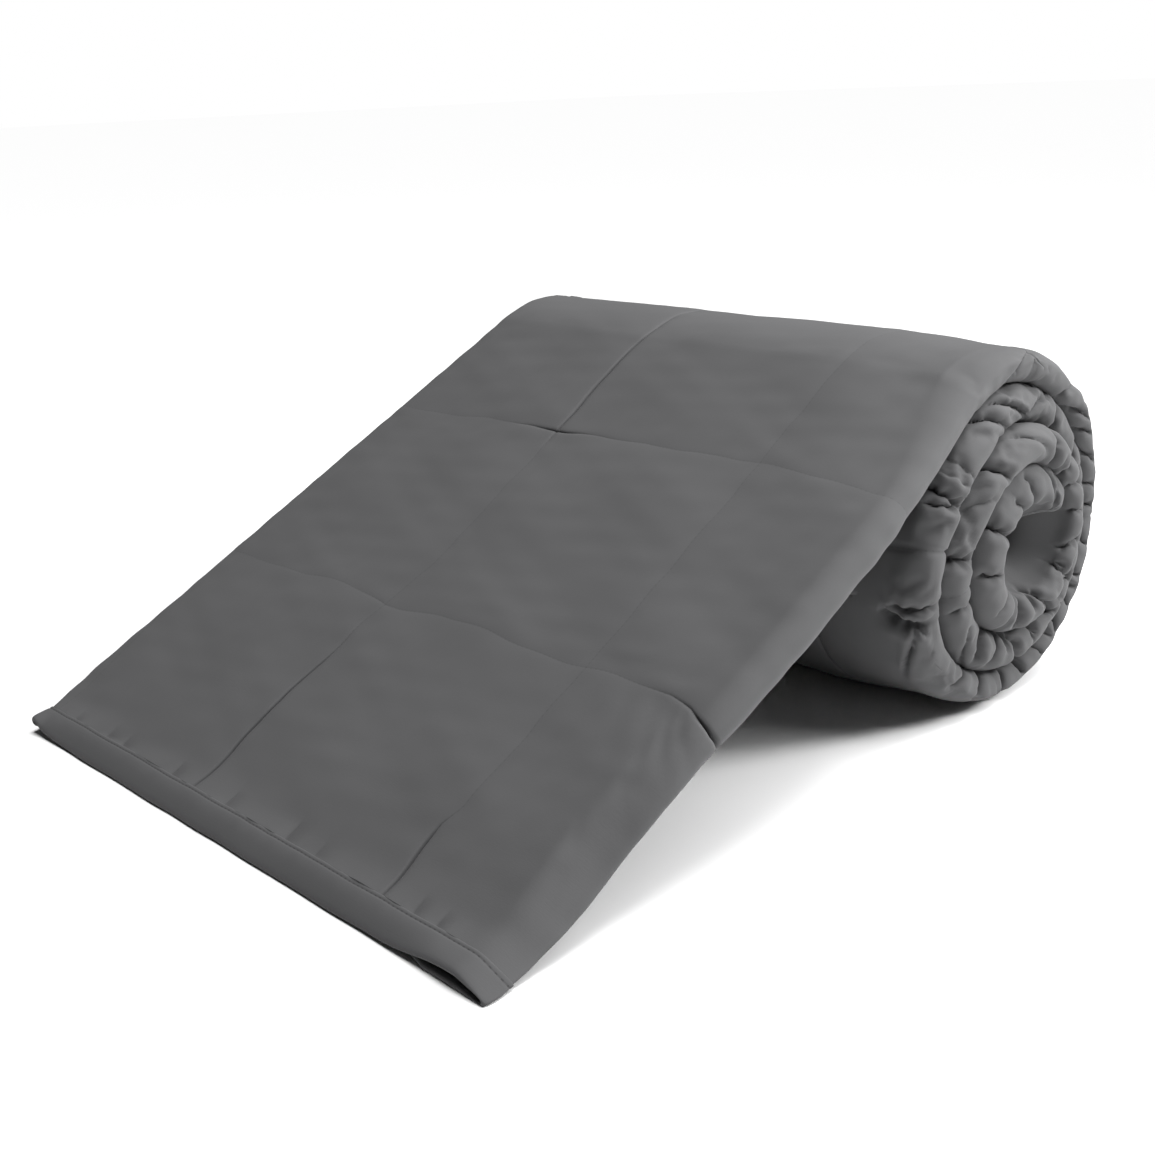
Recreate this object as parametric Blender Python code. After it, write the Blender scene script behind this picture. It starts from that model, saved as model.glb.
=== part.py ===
"""Weighted blanket: quilted cloth folded in three lengthwise, then rolled up from its far end.

The cloth is laid out flat first, with a place across it, a place along it and a height off its
middle surface. One function folds that place in three, and a second one rolls it. The binding that
is sewn over the front end goes through the same two functions.
Metres, +Z up: the roll's axis is X, the front end points along -Y, the floor is z = 0.
"""

import math

import bmesh
import bpy

# Quilting: squares between the lengthwise seams and the cross seams
COLUMN = 0.167
LAST_COLUMN = 0.136
COLUMNS = 7
ROW = 0.162
END_ROW = 0.150
ROWS = 12
BINDING = 0.015
CLOTH_WIDTH = (COLUMNS - 1) * COLUMN + LAST_COLUMN
CLOTH_LENGTH = 2 * (BINDING + END_ROW) + (ROWS - 2) * ROW

# Layers: from one to the next, in the roll and where the bound front end is pressed down
LAYERS = 3
LAYER_PITCH = 0.0078
FRONT_PITCH = 0.0042
LAYER_GAP = 0.0006
PRESSED_LENGTH = 0.075

# How far each face is drawn in on a seam and at a rim, and over what width
SEAM_DEPTH = 0.0013
SEAM_REACH = 0.016
RIM_DEPTH = 0.0022
RIM_REACH = 0.010

# The binding's places from the front edge, and its half thickness there
BINDING_PROFILE = ((0.0, 0.0009), (0.0015, 0.0017), (0.008, 0.0018), (BINDING, 0.0014))
BINDING_INSET = 0.003
SEWN_GAP = 0.0003

# The fold in three: how far each fold's edge lies from the third lengthwise seam, at lengths along the
# cloth. The inner turns have crept out to the right as the roll was wound
THIRD_SEAM = 3 * COLUMN
SEAM_X = -0.037
LEFT_EDGE = ((0.0, 0.182), (0.42, 0.147), (0.54, 0.162))
RIGHT_EDGE = (
    (0.0, 0.256), (0.03, 0.2555), (0.09, 0.2525), (0.16, 0.2545), (0.27, 0.2565), (0.33, 0.2585),
    (0.38, 0.253), (0.42, 0.246), (0.50, 0.2455), (0.56, 0.2435), (0.62, 0.2385), (0.76, 0.240),
    (0.93, 0.2445), (0.98, 0.250), (1.05, 0.253), (1.10, 0.244), (1.18, 0.2407), (1.29, 0.245),
    (1.40, 0.2455), (1.47, 0.249), (1.53, 0.254), (1.62, 0.254), (1.80, 0.2515), (1.88, 0.2545), (1.93, 0.2565),
)
EASING = (-0.018, -0.006, 0.006, 0.018)
ROLL_PINCH = 0.002
TOP_BLEND = 0.12

# Nothing lies between the top layer and the lowest one at the right fold, so there the outer turn sinks
# in, and its outer side reaches further round than its inner one
RIGHT_BULGE = ((0.32, 0.0), (0.41, 0.010), (0.70, 0.010), (0.78, 0.017), (0.85, 0.012), (0.92, 0.002))
RIGHT_SAG = ((0.32, 0.0), (0.41, 0.003), (0.70, 0.004), (0.78, 0.006), (0.85, 0.004), (0.92, 0.0))
SAG_REACH = 0.060
LEFT_ARC_STEPS = 2
RIGHT_ARC_STEPS = 3

# The roll: outside radius where the sloping end leaves it, and the step from turn to turn. The turns
# close in fastest at the closing angle, which lies under the slope
ROLL_RADIUS = 0.116
TURN_PITCH = 0.024
CLOSING_ANGLE = math.radians(330)
SLOPE = math.radians(28.9)
SLOPE_LENGTH = 0.4027
FRONT_BEND = 0.038
FLAT_SPOT_DEPTH = 0.003
FLAT_SPOT_REACH = 0.013

# How far the inner turns have crept to the back, which squeezes the layers there: once as the second
# turn starts, then evenly, and once more at the inner end
DRIFT_START = math.pi
DRIFT_ANGLE = 2.4
FIRST_DRIFT = 0.002
TURN_DRIFT = 0.0025
LAST_DRIFT_START = 17.0
LAST_DRIFT = 0.0055

# How far a straight step of the wound solid may cut inside the true curve, and the path's own step
CHORD_DEPTH = 0.0009
PATH_STEP = 0.0005

CLOTH_COLOUR = (0.118, 0.118, 0.118, 1.0)
BINDING_COLOUR = (0.105, 0.105, 0.105, 1.0)


def blend(first, last, share):
    """Smooth way from first to last as share goes from 0 to 1."""
    share = min(max(share, 0.0), 1.0)
    return first + (last - first) * share * share * (3 - 2 * share)


def half_layer(pitch):
    """Half the thickness of a layer in the middle of a square, where layers lie this far apart."""
    return (pitch - LAYER_GAP) / 2


def spiral_radius(angle):
    """Radius of the top layer's middle surface, at an angle wound on from the slope's upper end."""
    closing = math.sin(angle - CLOSING_ANGLE) + math.sin(CLOSING_ANGLE)
    return ROLL_RADIUS - half_layer(LAYER_PITCH) - TURN_PITCH * (angle + closing) / math.tau


def drift(angle):
    """How far the turns have crept to the back, at an angle wound on from the slope's upper end."""
    first = FIRST_DRIFT * blend(0, 1, (angle - DRIFT_START) / DRIFT_ANGLE)
    last = LAST_DRIFT * blend(0, 1, (angle - LAST_DRIFT_START) / DRIFT_ANGLE)
    return first + last + TURN_DRIFT * max(angle - DRIFT_START, 0) / math.tau


def wound_places():
    """Rows of (length, y, z, layer pitch) along the top layer, from the front edge to the inner end."""
    centre_z = spiral_radius(math.pi + SLOPE) + half_layer(LAYER_PITCH) - FLAT_SPOT_DEPTH
    front = BINDING + SLOPE_LENGTH
    y = -spiral_radius(0) * math.sin(SLOPE)
    z = centre_z + spiral_radius(0) * math.cos(SLOPE)
    rows = []
    length = front
    while length > -PATH_STEP:
        direction = blend(0.0, SLOPE, length / FRONT_BEND)
        rows.append((length, y, z, LAYER_PITCH))
        y -= PATH_STEP * math.cos(direction)
        z -= PATH_STEP * math.sin(direction)
        length -= PATH_STEP
    rows.reverse()
    angle = 0.0
    length = front
    while length < CLOTH_LENGTH + PATH_STEP:
        angle += PATH_STEP / spiral_radius(angle)
        length += PATH_STEP
        radius = spiral_radius(angle)
        turned = angle - SLOPE
        squeeze = (drift(angle + math.tau) - drift(angle)) * math.sin(turned) / LAYERS
        y = drift(angle) + radius * math.sin(turned)
        z = centre_z + radius * math.cos(turned)
        rows.append((length, y, z, LAYER_PITCH - squeeze))
    return rows


def wound_path():
    """The same rows with the path's direction at each added at its end."""
    places = wound_places()
    direction = 0.0
    rows = []
    for i, place in enumerate(places):
        _, y0, z0, _ = places[max(i - 1, 0)]
        _, y1, z1, _ = places[min(i + 1, len(places) - 1)]
        direction += math.remainder(math.atan2(z1 - z0, y1 - y0) - direction, math.tau)
        rows.append((*place, direction))
    return rows


PATH = wound_path()
FRONT_Y = PATH[0][1]
BACK_Y = max(row[1] for row in PATH) + half_layer(LAYER_PITCH)
MIDDLE_Y = (FRONT_Y + BACK_Y) / 2


def path_at(length):
    """(y, z, layer pitch, direction) at a length along the top layer, between the nearest two rows."""
    place = (length - PATH[0][0]) / PATH_STEP
    index = min(max(int(place), 0), len(PATH) - 2)
    share = place - index
    before, after = PATH[index], PATH[index + 1]
    y, z, pitch, direction = (a + (b - a) * share for a, b in zip(before[1:], after[1:]))
    return y - MIDDLE_Y, z, pitch, direction


def lengthwise_seams():
    """The places across the cloth at which it is sewn through from end to end."""
    return [column * COLUMN for column in range(1, COLUMNS)]


def cross_seams():
    """The lengths at which the cloth is sewn through from side to side."""
    return [BINDING + END_ROW + row * ROW for row in range(ROWS - 1)]


def drawn_in(distance, reach):
    """1 on a seam or a rim, falling to 0 at its reach."""
    return 1 - blend(0, 1, abs(distance) / reach)


def on_seam(place, seams):
    return max(drawn_in(place - seam, SEAM_REACH) for seam in seams)


def layer_pitch(length):
    return blend(FRONT_PITCH, path_at(length)[2], (length - BINDING) / PRESSED_LENGTH)


def half_thickness(across, length):
    """Half the quilted cloth's thickness: full in the squares, less on the seams and at the rims."""
    seam = max(on_seam(across, lengthwise_seams()), on_seam(length, cross_seams()))
    to_rim = min(across, CLOTH_WIDTH - across, length - BINDING, CLOTH_LENGTH - length)
    in_square = half_layer(layer_pitch(length))
    thinned = max(SEAM_DEPTH * seam, RIM_DEPTH * drawn_in(to_rim, RIM_REACH))
    return max(in_square - thinned, BINDING_PROFILE[-1][1])


def along(place, knots):
    """A value that changes evenly from knot to knot, as the (place, value) knots say."""
    if place <= knots[0][0]:
        return knots[0][1]
    for (first, low), (last, high) in zip(knots, knots[1:]):
        if place <= last:
            return low + (high - low) * (place - first) / (last - first)
    return knots[-1][1]


def eased(place, knots):
    """The same without a sharp bend at a knot."""
    return sum(along(place + step, knots) for step in EASING) / len(EASING)


def fold_sizes(length, side, inset):
    """(reach, radius, width, arc) of a fold: it runs flat from the third seam for its reach, and then
    turns through an outer arc of that width and length and an inner one of that radius."""
    pitch = layer_pitch(length)
    wound = (length - BINDING - SLOPE_LENGTH) / TOP_BLEND
    pinch = blend(0, ROLL_PINCH, wound) * on_seam(length, cross_seams())
    if side > 0:
        edge, radius, width = eased(length, RIGHT_EDGE), pitch, pitch + eased(length, RIGHT_BULGE)
    else:
        edge, radius, width = eased(length, LEFT_EDGE), pitch / 2, pitch / 2
    arc = math.pi / 2 * math.sqrt((width**2 + radius**2) / 2)
    return edge - half_layer(pitch) - width - pinch - inset, radius, width, arc


def fold(across, height, length, inset):
    """(x, lift) of a point of the flat cloth after the fold in three. On the top layer, lift is height."""
    from_seam = across - THIRD_SEAM
    side = 1 if from_seam > 0 else -1
    reach, radius, width, arc = fold_sizes(length, side, inset)
    sag = eased(length, RIGHT_SAG) if side > 0 else 0.0
    past = abs(from_seam) - reach
    if past <= 0:
        return SEAM_X + from_seam, height - sag * blend(0, 1, 1 + past / SAG_REACH)
    if past <= arc:
        turned = math.pi / 2 * past / arc
        x = reach + (width + height) * math.sin(turned)
        return SEAM_X + side * x, (radius + height - sag) * math.cos(turned) - radius
    turned = math.pi / 2 + min((past - arc) / radius, math.pi / 2)
    beyond = max(past - arc - math.pi / 2 * radius, 0)
    x = reach + width - radius - beyond + (radius + height) * math.sin(turned)
    return SEAM_X + side * x, (radius + height) * math.cos(turned) - radius


def roll(x, lift, length):
    """The world place of a folded point, wound along the path and resting on the floor."""
    y, z, _, direction = path_at(length)
    return x, y - lift * math.sin(direction), max(z + lift * math.cos(direction), 0.0)


def arc_places(length, side, steps, inset):
    """Places across the cloth through one fold, from the top layer's end to the flap's start."""
    reach, radius, _, arc = fold_sizes(length, side, inset)
    outer = [reach + arc * step / steps for step in range(steps)]
    inner = [reach + arc + math.pi / 2 * radius * step / steps for step in range(steps + 1)]
    return [THIRD_SEAM + side * place for place in outer + inner]


def quilted_places(length):
    """Places across the quilted cloth: two rims, two folds, and the lengthwise seams that show."""
    places = [0, RIM_REACH, CLOTH_WIDTH - RIM_REACH, CLOTH_WIDTH]
    places += arc_places(length, -1, LEFT_ARC_STEPS, 0) + arc_places(length, 1, RIGHT_ARC_STEPS, 0)
    for seam in lengthwise_seams()[2:]:
        places += [seam - SEAM_REACH, seam, seam + SEAM_REACH]
    return sorted(places)


def binding_places(length):
    places = [0, CLOTH_WIDTH]
    places += arc_places(length, -1, LEFT_ARC_STEPS, BINDING_INSET)
    places += arc_places(length, 1, RIGHT_ARC_STEPS, BINDING_INSET)
    return sorted(places)


def quilted_lengths():
    """Places along the quilted cloth: close on the seams, on the flat spot and where the roll is tight."""
    start = BINDING + SEWN_GAP
    keys = [start, start + RIM_REACH, CLOTH_LENGTH - RIM_REACH, CLOTH_LENGTH]
    keys += [BINDING + PRESSED_LENGTH * share for share in (0.4, 0.7, 1.0)]
    for seam in cross_seams():
        keys += [seam - SEAM_REACH, seam, seam + SEAM_REACH]
    underneath = next(row[0] for row in PATH if row[-1] < -math.pi)
    keys += [underneath - FLAT_SPOT_REACH, underneath + FLAT_SPOT_REACH]
    keys.sort()
    lengths = [start]
    for first, last in zip(keys, keys[1:]):
        turn = abs(path_at(last)[-1] - path_at(first)[-1])
        steps = math.ceil(math.sqrt((last - first) * turn / (8 * CHORD_DEPTH))) or 1
        lengths += [first + (last - first) * step / steps for step in range(1, steps + 1)]
    return lengths


def ring(places, halves, length, inset):
    """One section through the folded cloth: along its upper face, then back along its lower one."""
    upper = [fold(across, half, length, inset) for across, half in zip(places, halves)]
    lower = [fold(across, -half, length, inset) for across, half in zip(places, halves)]
    return [roll(x, lift, length) for x, lift in upper + lower[::-1]]


def cloth_material(name, colour):
    material = bpy.data.materials.new(name)
    material.use_nodes = True
    shader = material.node_tree.nodes["Principled BSDF"]
    shader.inputs["Base Color"].default_value = colour
    shader.inputs["Roughness"].default_value = 0.85
    shader.inputs["Metallic"].default_value = 0.0
    shader.inputs["Sheen Weight"].default_value = 0.2
    return material


def loft(name, rings, material, collection):
    """A closed solid through the rings, with a strip of faces across the first and the last."""
    bm = bmesh.new()
    loops = [[bm.verts.new(point) for point in points] for points in rings]
    count = len(loops[0])
    for before, after in zip(loops, loops[1:]):
        for i in range(count):
            j = (i + 1) % count
            bm.faces.new((before[i], before[j], after[j], after[i]))
    for end in (loops[0], loops[-1]):
        for i in range(count // 2 - 1):
            bm.faces.new((end[i], end[i + 1], end[count - 2 - i], end[count - 1 - i]))
    bmesh.ops.recalc_face_normals(bm, faces=bm.faces)
    mesh = bpy.data.meshes.new(name)
    bm.to_mesh(mesh)
    bm.free()
    mesh.materials.append(material)
    made = bpy.data.objects.new(name, mesh)
    collection.objects.link(made)
    return made


def make_quilted_cloth(collection):
    rings = []
    for length in quilted_lengths():
        places = quilted_places(length)
        halves = [half_thickness(across, length) for across in places]
        rings.append(ring(places, halves, length, 0))
    return loft("quilted_cloth", rings, cloth_material("quilted_cloth", CLOTH_COLOUR), collection)


def make_edge_binding(collection):
    rings = []
    for length, half in BINDING_PROFILE:
        places = binding_places(length)
        rings.append(ring(places, [half] * len(places), length, BINDING_INSET))
    return loft("edge_binding", rings, cloth_material("edge_binding", BINDING_COLOUR), collection)


for startup in list(bpy.data.objects):
    bpy.data.objects.remove(startup)
blanket = bpy.data.collections.new("weighted_blanket")
bpy.context.scene.collection.children.link(blanket)
make_quilted_cloth(blanket)
make_edge_binding(blanket)
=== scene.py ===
import math
from collections import namedtuple

import bpy
import numpy as np
from mathutils import Matrix


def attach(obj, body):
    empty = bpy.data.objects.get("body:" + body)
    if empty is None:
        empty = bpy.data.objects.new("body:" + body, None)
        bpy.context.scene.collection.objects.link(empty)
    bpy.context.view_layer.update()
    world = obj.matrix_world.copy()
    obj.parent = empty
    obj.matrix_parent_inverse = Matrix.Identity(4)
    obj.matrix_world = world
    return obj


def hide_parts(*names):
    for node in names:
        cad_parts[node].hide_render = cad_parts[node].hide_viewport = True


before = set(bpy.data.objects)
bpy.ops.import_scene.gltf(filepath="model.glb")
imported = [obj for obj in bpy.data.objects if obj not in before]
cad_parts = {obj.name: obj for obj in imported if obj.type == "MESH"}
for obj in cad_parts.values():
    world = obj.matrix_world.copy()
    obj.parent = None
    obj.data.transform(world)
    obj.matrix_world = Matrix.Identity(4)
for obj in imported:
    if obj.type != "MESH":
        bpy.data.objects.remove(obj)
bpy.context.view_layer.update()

# ---------------------------------------------------------------- quilted cloth: where it lies
# One flat quilt of two dark grey microfibre faces over wadding and glass beads. It is folded in three
# lengthwise, rolled up from its far end, and its bound front end is left lying out as a slope.
# A place on it is (across, length) on the flat quilt plus a height off its middle surface.

COLUMN = 0.167
LAST_COLUMN = 0.136
COLUMNS = 7
ROW = 0.162
END_ROW = 0.150
ROWS = 12
BINDING = 0.015
CLOTH_WIDTH = (COLUMNS - 1) * COLUMN + LAST_COLUMN
CLOTH_LENGTH = 2 * (BINDING + END_ROW) + (ROWS - 2) * ROW
THIRD_SEAM = 3 * COLUMN
SEAM_X = -0.037

# The layers: from one to the next, in the roll and where the bound front end is pressed down
LAYERS = 3
LAYER_PITCH = 0.0078
FRONT_PITCH = 0.0042
LAYER_GAP = 0.0006
PRESSED_LENGTH = 0.075

# From the third seam to each fold's edge, at lengths along the cloth
LEFT_EDGE = ((0.0, 0.1680), (0.012, 0.1790), (0.030, 0.1815), (0.42, 0.147), (0.54, 0.162))
RIGHT_EDGE = (
    (0.0, 0.256), (0.03, 0.2550), (0.09, 0.2525), (0.13, 0.2570), (0.16, 0.2590), (0.27, 0.2605),
    (0.33, 0.2610), (0.38, 0.253), (0.42, 0.246), (0.50, 0.2455), (0.56, 0.2435), (0.62, 0.2385),
    (0.76, 0.240), (0.93, 0.2445), (0.98, 0.250), (1.05, 0.253), (1.10, 0.244), (1.18, 0.2407),
    (1.29, 0.245), (1.40, 0.2455), (1.47, 0.249), (1.53, 0.254), (1.62, 0.254), (1.80, 0.2515),
    (1.88, 0.2545), (1.93, 0.2565),
)
# How much further the right fold reaches on its outer side than on its inner one, and how far it sinks
RIGHT_BULGE = ((0.32, 0.0), (0.41, 0.010), (0.70, 0.010), (0.78, 0.017), (0.85, 0.012), (0.92, 0.002))
RIGHT_SAG = ((0.32, 0.0), (0.41, 0.003), (0.70, 0.004), (0.78, 0.006), (0.85, 0.004), (0.92, 0.0))
SAG_REACH = 0.060
# Where the right fold's outer side lies as a flat facet instead of round, from 0 to 1
FACET = ((0.40, 0.0), (0.428, 0.85), (0.515, 0.85), (0.56, 0.0))
# How thin the slope's right edge is pressed, over what width, and towards which face (0 lower, 1 upper)
EDGE_PRESS = (
    (0.0, 0.66), (0.08, 0.64), (0.10, 0.56), (0.12, 0.46), (0.14, 0.32), (0.17, 0.16), (0.21, 0.10),
    (0.36, 0.05), (0.42, 0.0),
)
PRESS_WIDTH = 0.024
PRESS_CURVE = 1.3
PRESS_FACE = ((0.05, 0.0), (0.16, 0.75), (0.30, 0.95))
# Steps along the cloth that edges, bulge and sag are averaged over, so that they have no sharp bends
EASING = (-0.018, -0.006, 0.006, 0.018)

# The roll: its outside radius where the slope leaves it, and the step from turn to turn. The turns
# close in fastest at the closing angle, which lies under the slope
ROLL_RADIUS = 0.116
TURN_PITCH = 0.024
CLOSING_ANGLE = math.radians(330)
SLOPE = math.radians(28.9)
SLOPE_LENGTH = 0.4027
TOP_OF_SLOPE = BINDING + SLOPE_LENGTH
FRONT_BEND = 0.038
FLAT_SPOT_DEPTH = 0.003
PATH_STEP = 0.0005
# How far the inner turns have crept to the back, which squeezes the layers there: once after half a
# turn, then evenly, and once more towards the inner end
DRIFT_START = math.pi
DRIFT_ANGLE = 2.4
FIRST_DRIFT = 0.002
TURN_DRIFT = 0.0025
LAST_DRIFT_START = 17.0
LAST_DRIFT = 0.0055


def smooth(share):
    """0 to 1 as share goes from 0 to 1, without a corner at either end."""
    share = np.clip(share, 0, 1)
    return share * share * (3 - 2 * share)


def bell(distance, reach):
    """1 at no distance, falling away over the reach."""
    return np.exp(-((distance / reach) ** 2))


def along(place, knots):
    """A value that changes from knot to knot, as (place, value) pairs say."""
    return np.interp(place, [knot[0] for knot in knots], [knot[1] for knot in knots])


def eased(place, knots, steps=EASING):
    """The same without a sharp bend at a knot."""
    return sum(along(place + step, knots) for step in steps) / len(steps)


def half_layer(pitch):
    return (pitch - LAYER_GAP) / 2


def spiral_radius(angle):
    closing = math.sin(angle - CLOSING_ANGLE) + math.sin(CLOSING_ANGLE)
    return ROLL_RADIUS - half_layer(LAYER_PITCH) - TURN_PITCH * (angle + closing) / math.tau


def drift(angle):
    """How far the turns have crept to the back, at that angle wound on."""
    turns = max(angle - DRIFT_START, 0) / math.tau
    first = float(smooth((angle - DRIFT_START) / DRIFT_ANGLE))
    last = float(smooth((angle - LAST_DRIFT_START) / DRIFT_ANGLE))
    return FIRST_DRIFT * first + TURN_DRIFT * turns + LAST_DRIFT * last


def wound_path():
    """Rows of (length, y, z, layer pitch) along the top layer, from the front edge to the inner end."""
    centre_z = spiral_radius(math.pi + SLOPE) + half_layer(LAYER_PITCH) - FLAT_SPOT_DEPTH
    y = -spiral_radius(0) * math.sin(SLOPE)
    z = centre_z + spiral_radius(0) * math.cos(SLOPE)
    rows = []
    length = TOP_OF_SLOPE
    while length > -PATH_STEP:
        direction = SLOPE * float(smooth(length / FRONT_BEND))
        rows.append((length, y, z, LAYER_PITCH))
        y -= PATH_STEP * math.cos(direction)
        z -= PATH_STEP * math.sin(direction)
        length -= PATH_STEP
    rows.reverse()
    angle = 0.0
    length = TOP_OF_SLOPE
    while length < CLOTH_LENGTH + PATH_STEP:
        angle += PATH_STEP / spiral_radius(angle)
        length += PATH_STEP
        turned = angle - SLOPE
        back = drift(angle)
        squeeze = (drift(angle + math.tau) - back) * math.sin(turned) / LAYERS
        y = back + spiral_radius(angle) * math.sin(turned)
        z = centre_z + spiral_radius(angle) * math.cos(turned)
        rows.append((length, y, z, LAYER_PITCH - squeeze))
    return np.array(rows)


PATH = wound_path()
PATH_DIRECTION = np.unwrap(np.arctan2(np.gradient(PATH[:, 2]), np.gradient(PATH[:, 1])))
# The middle between the front edge and the back of the roll is at y = 0
PATH[:, 1] -= (PATH[0, 1] + PATH[:, 1].max() + half_layer(LAYER_PITCH)) / 2


def layer_pitch(length):
    wound = np.interp(length, PATH[:, 0], PATH[:, 3])
    return FRONT_PITCH + (wound - FRONT_PITCH) * smooth((length - BINDING) / PRESSED_LENGTH)


Fold = namedtuple("Fold", "reach radius bulged arc flap")


def fold_sizes(length, side, inset=0.0):
    """The right fold (side 1) or the left one (side -1): how far it lies flat from the third seam, its
    radius without and with its bulge, its outer quarter's arc, and how far from the seam its flap is."""
    pitch = layer_pitch(length)
    radius = pitch if side > 0 else pitch / 2
    bulge = eased(length, RIGHT_BULGE) if side > 0 else 0 * pitch
    edge = eased(length, RIGHT_EDGE if side > 0 else LEFT_EDGE) - inset
    bulged = radius + bulge
    arc = math.pi / 2 * np.sqrt((bulged ** 2 + radius ** 2) / 2)
    reach = edge - half_layer(pitch) - bulged
    return Fold(reach, radius, bulged, arc, reach + arc + math.pi / 2 * radius)


def folded(across, height, length, left_nose=0.0, right_nose=0.0, inset=0.0):
    """(x, lift) after the fold in three. A nose pushes that fold's rounded edge out sideways."""
    from_seam = across - THIRD_SEAM
    x = SEAM_X + from_seam
    lift = height + 0 * x
    for side, nose in ((1, right_nose), (-1, left_nose)):
        fold = fold_sizes(length, side, inset)
        sag = eased(length, RIGHT_SAG) if side > 0 else 0.0
        past = side * from_seam - fold.reach
        outer = np.clip(past / fold.arc, 0, 1)
        inner = np.clip((past - fold.arc) / fold.radius, 0, math.pi / 2)
        turned = outer * math.pi / 2 + inner
        beyond = np.maximum(side * from_seam - fold.flap, 0)
        width = np.where(inner > 0, fold.radius, fold.bulged)
        out = fold.reach + fold.bulged - width - beyond + (width + height + nose) * np.sin(turned)
        bent = SEAM_X + side * out
        tall = fold.radius + height - np.where(inner > 0, 0.0, sag)
        curved = tall * np.cos(turned) - fold.radius
        if side > 0:
            flat = along(length, FACET) * np.where(inner > 0, 0.0, 1.0)
            bent = bent + flat * (fold.bulged + height + nose) * (outer - np.sin(turned))
            curved = curved + flat * tall * (1 - outer - np.cos(turned))
        x = np.where(past > 0, bent, x)
        lift = np.where(past > 0, curved, lift - sag * smooth(1 + past / SAG_REACH))
    return x, pressed(x, lift, length, inset)


def pressed(x, lift, length, inset):
    """The lift once the slope's right edge is pressed thin."""
    pitch = layer_pitch(length)
    bottom = -(LAYERS - 1) * pitch - half_layer(pitch)
    face = bottom + (half_layer(pitch) - bottom) * along(length, PRESS_FACE)
    edge = SEAM_X + eased(length, RIGHT_EDGE) - inset
    share = along(length, EDGE_PRESS) * smooth(1 - (edge - x) / PRESS_WIDTH) ** PRESS_CURVE
    return face + (lift - face) * (1 - share)


# How far the tucked left flap's front end, and the lowest layer's, lie back from the top layer's
FLAP_RECESS = 0.012
FLAP_SPREAD = 0.022
LOWEST_RECESS = ((0.172, 0.007), (0.198, 0.0))
LOWEST_SPREAD = 0.02
TURN_MARGIN = 0.004
RECESS_START = 0.004
RECESS_REACH = 0.055


def recess(across, length):
    """How far back a flap lies near the front end."""
    left, right = fold_sizes(length, -1), fold_sizes(length, 1)
    from_seam = across - THIRD_SEAM
    tucked = FLAP_RECESS * smooth((-from_seam - left.reach - TURN_MARGIN) / FLAP_SPREAD)
    beneath = 2 * right.reach - from_seam
    lowest = along(beneath, LOWEST_RECESS) * smooth((from_seam - right.reach) / LOWEST_SPREAD)
    return (tucked + lowest) * (1 - smooth((length - RECESS_START) / RECESS_REACH))


def rolled(x, lift, length):
    """World places of folded points, wound along the path and resting on the floor."""
    y, z = (np.interp(length, PATH[:, 0], PATH[:, column]) for column in (1, 2))
    direction = np.interp(length, PATH[:, 0], PATH_DIRECTION)
    height = np.maximum(z + lift * np.cos(direction), 0.0)
    return np.stack([x, y - lift * np.sin(direction), height], axis=-1)


# ---------------------------------------------------------------- quilted cloth: its relief
# Each square is a shallow puff. The quilting pulls it in to a tight line, hardest near the bound end,
# and the folds bunch up in lobes between creases where the roll squeezes them.

CROSS_SEAMS = [BINDING + END_ROW + row * ROW for row in range(ROWS - 1)]
# A sewn line's soft shoulder and the tight crease inside it, which only a firm pull cuts
SEAM_DEPTH = 0.0006
SEAM_REACH = 0.0060
SHOULDER_CURVE = 2.2
SEAM_CREASE_DEPTH = 0.0042
SEAM_CREASE_REACH = 0.0011
SEAM_CREASE_CURVE = 1.2
LEAST_PULL = 0.375
PULL_CURVE = 1.5
# How hard each seam pulls, from 0 to 1: hard at the bound end, slack where the slope is stretched. The
# lengthwise ones go by length, the cross ones by the distance from the third seam
LENGTHWISE_PULL = {
    3: ((0.015, 1.0), (0.085, 1.0), (0.11, 0.75), (0.14, 0.45), (0.17, 0.3), (0.2, 0.12), (0.30, 0.12),
        (0.335, 0.8), (0.38, 0.95), (0.45, 0.6), (0.6, 0.7)),
    4: ((0.015, 0.95), (0.05, 0.85), (0.072, 0.25), (0.16, 0.1), (0.33, 0.12), (0.45, 0.15), (0.6, 0.7)),
}
PLAIN_LENGTHWISE_PULL = ((0.4, 0.3), (0.6, 0.7))
CROSS_PULL = {
    0: ((-0.16, 0.12), (-0.05, 0.2), (-0.01, 0.42), (0.04, 0.36), (0.12, 0.28), (0.2, 0.34), (0.227, 0.5),
        (0.243, 0.62), (0.252, 0.95), (0.266, 1.0), (0.30, 0.5)),
    1: ((-0.15, 0.12), (-0.05, 0.3), (0.0, 0.7), (0.03, 0.45), (0.2, 0.25), (0.25, 0.1), (0.3, 0.5)),
}
PLAIN_CROSS_PULL = ((0.0, 0.75),)
# How far those seams stray from straight, at the same places
LENGTHWISE_STRAY = {
    3: ((0.015, -0.0065), (0.09, -0.0045), (0.15, -0.0005), (0.2, 0.009), (0.28, 0.007), (0.33, 0.002),
        (0.42, -0.002), (0.5, -0.008), (0.7, 0.0)),
    4: ((0.015, -0.001), (0.06, -0.003), (0.072, 0.001), (0.12, 0.001), (0.24, 0.0), (0.33, -0.005),
        (0.45, -0.008), (0.7, 0.0)),
}
CROSS_STRAY = {
    0: ((-0.15, 0.0), (-0.04, 0.004), (0.0, 0.0), (0.05, 0.005), (0.15, 0.0035), (0.20, 0.0045),
        (0.225, 0.0050), (0.240, 0.0025), (0.2555, -0.0045), (0.275, -0.006)),
    1: ((-0.12, -0.006), (0.0, -0.001), (0.06, 0.0), (0.17, 0.003), (0.24, -0.003)),
}
NO_STRAY = ((0.0, 0.0),)
STRAY_REACH = 0.016
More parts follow.
